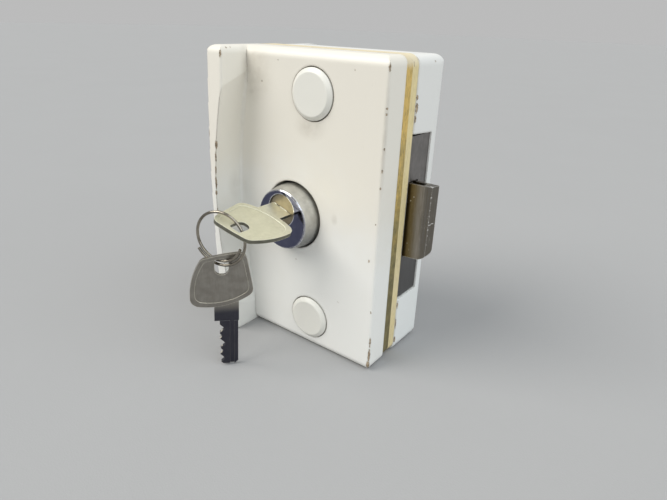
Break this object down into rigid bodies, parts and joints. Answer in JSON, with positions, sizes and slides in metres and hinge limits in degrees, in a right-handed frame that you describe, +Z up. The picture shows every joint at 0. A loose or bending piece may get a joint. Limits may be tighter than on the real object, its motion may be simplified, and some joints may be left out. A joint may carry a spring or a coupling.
{
  "type": "glass door lock",
  "caption": "Patch lock for a glass door: two padded halves with pull flanges, a key cylinder in front, a sliding dead bolt at the side, and keys on a ring.",
  "frame": {"origin": "halfway between the two clamping screws, where the two liners meet (middle of the glass)", "axes": "+X towards the bolt's side, +Y from the front half to the rear half, +Z up"},
  "size_m": [0.0807, 0.0885, 0.12],
  "materials": {
    "painted_plate": "cream lacquer, satin, chipped at the edges",
    "painted_case": "cool white lacquer, satin",
    "front_liner": "amber, soiled",
    "rear_liner": "cream yellow, soiled",
    "cap_plastic": "satin",
    "screw_steel": "plated",
    "sleeve_plastic": "plain",
    "cylinder_metal": "cast, satin, mottled",
    "face_chrome": "polished, dusty",
    "plug_brass": "worn",
    "pin_brass": "turned",
    "spring_steel": "drawn",
    "key_nickel": "nickel plate, handled",
    "key_worn": "nickel plate, dull with bright cuts",
    "ring_steel": "plated wire",
    "box_steel": "zinc plated sheet",
    "face_steel": "satin",
    "bolt_steel": "worn, brown grey",
    "cam_steel": "stamped"
  },
  "bodies": {
    "lock_body": {"front_plate": "painted_plate", "front_liner": "front_liner", "rear_liner": "rear_liner", "rear_case": "painted_case", "clamp_screws": "screw_steel", "screw_sleeves": "sleeve_plastic", "cylinder_housing": "cylinder_metal", "cylinder_screws": "screw_steel", "cylinder_face_ring": "face_chrome", "driver_pins": "pin_brass", "pin_springs": "spring_steel", "pin_chamber_cover": "plug_brass", "lock_box": "box_steel", "lock_face": "face_steel", "box_posts": "box_steel", "box_screws": "screw_steel", "guide_pins": "box_steel"},
    "plug_body": {"key_plug": "plug_brass", "plug_clip": "spring_steel", "key_pins": "pin_brass", "turning_cam": "cam_steel", "crank_pin": "cam_steel"},
    "bolt_body": {"dead_bolt": "bolt_steel"},
    "inserted_key_body": {"inserted_key": "key_nickel"},
    "ring_body": {"key_ring": "ring_steel"},
    "hanging_key_body": {"hanging_key": "key_worn"},
    "upper_cap_body": {"upper_cover_cap": "cap_plastic"},
    "lower_cap_body": {"lower_cover_cap": "cap_plastic"}
  },
  "joints": [
    {"name": "plug_turn", "type": "hinge", "parent": "lock_body", "child": "plug_body", "pos_m": [-0.0095, 0, 0.0019], "axis": [0, 1, 0], "range_deg": [0, 72]},
    {"name": "bolt_slide", "type": "slide", "parent": "lock_body", "child": "bolt_body", "axis": [-1, 0, 0], "range_m": [0, 0.00985]},
    {"name": "key_pull", "type": "slide", "parent": "plug_body", "child": "inserted_key_body", "axis": [0, -1, 0], "range_m": [0, 0.022]},
    {"name": "ring_swing", "type": "hinge", "parent": "inserted_key_body", "child": "ring_body", "pos_m": [-0.01389, -0.04654, 0.00332], "axis": [-0.9201, -0.2534, 0.2987], "range_deg": [-18, 35]},
    {"name": "hanging_key_swing", "type": "hinge", "parent": "ring_body", "child": "hanging_key_body", "pos_m": [-0.0163, -0.0472, -0.01293], "axis": [-0.9641, -0.2656, 0], "range_deg": [-12, 15]},
    {"name": "upper_cap_pull", "type": "slide", "parent": "lock_body", "child": "upper_cap_body", "axis": [0, -1, 0], "range_m": [0, 0.006]},
    {"name": "lower_cap_pull", "type": "slide", "parent": "lock_body", "child": "lower_cap_body", "axis": [0, -1, 0], "range_m": [0, 0.006]}
  ],
  "couplings": [
    {"joint": "bolt_slide", "follows": "plug_turn", "m_per_rad": 0.0078383}
  ]
}
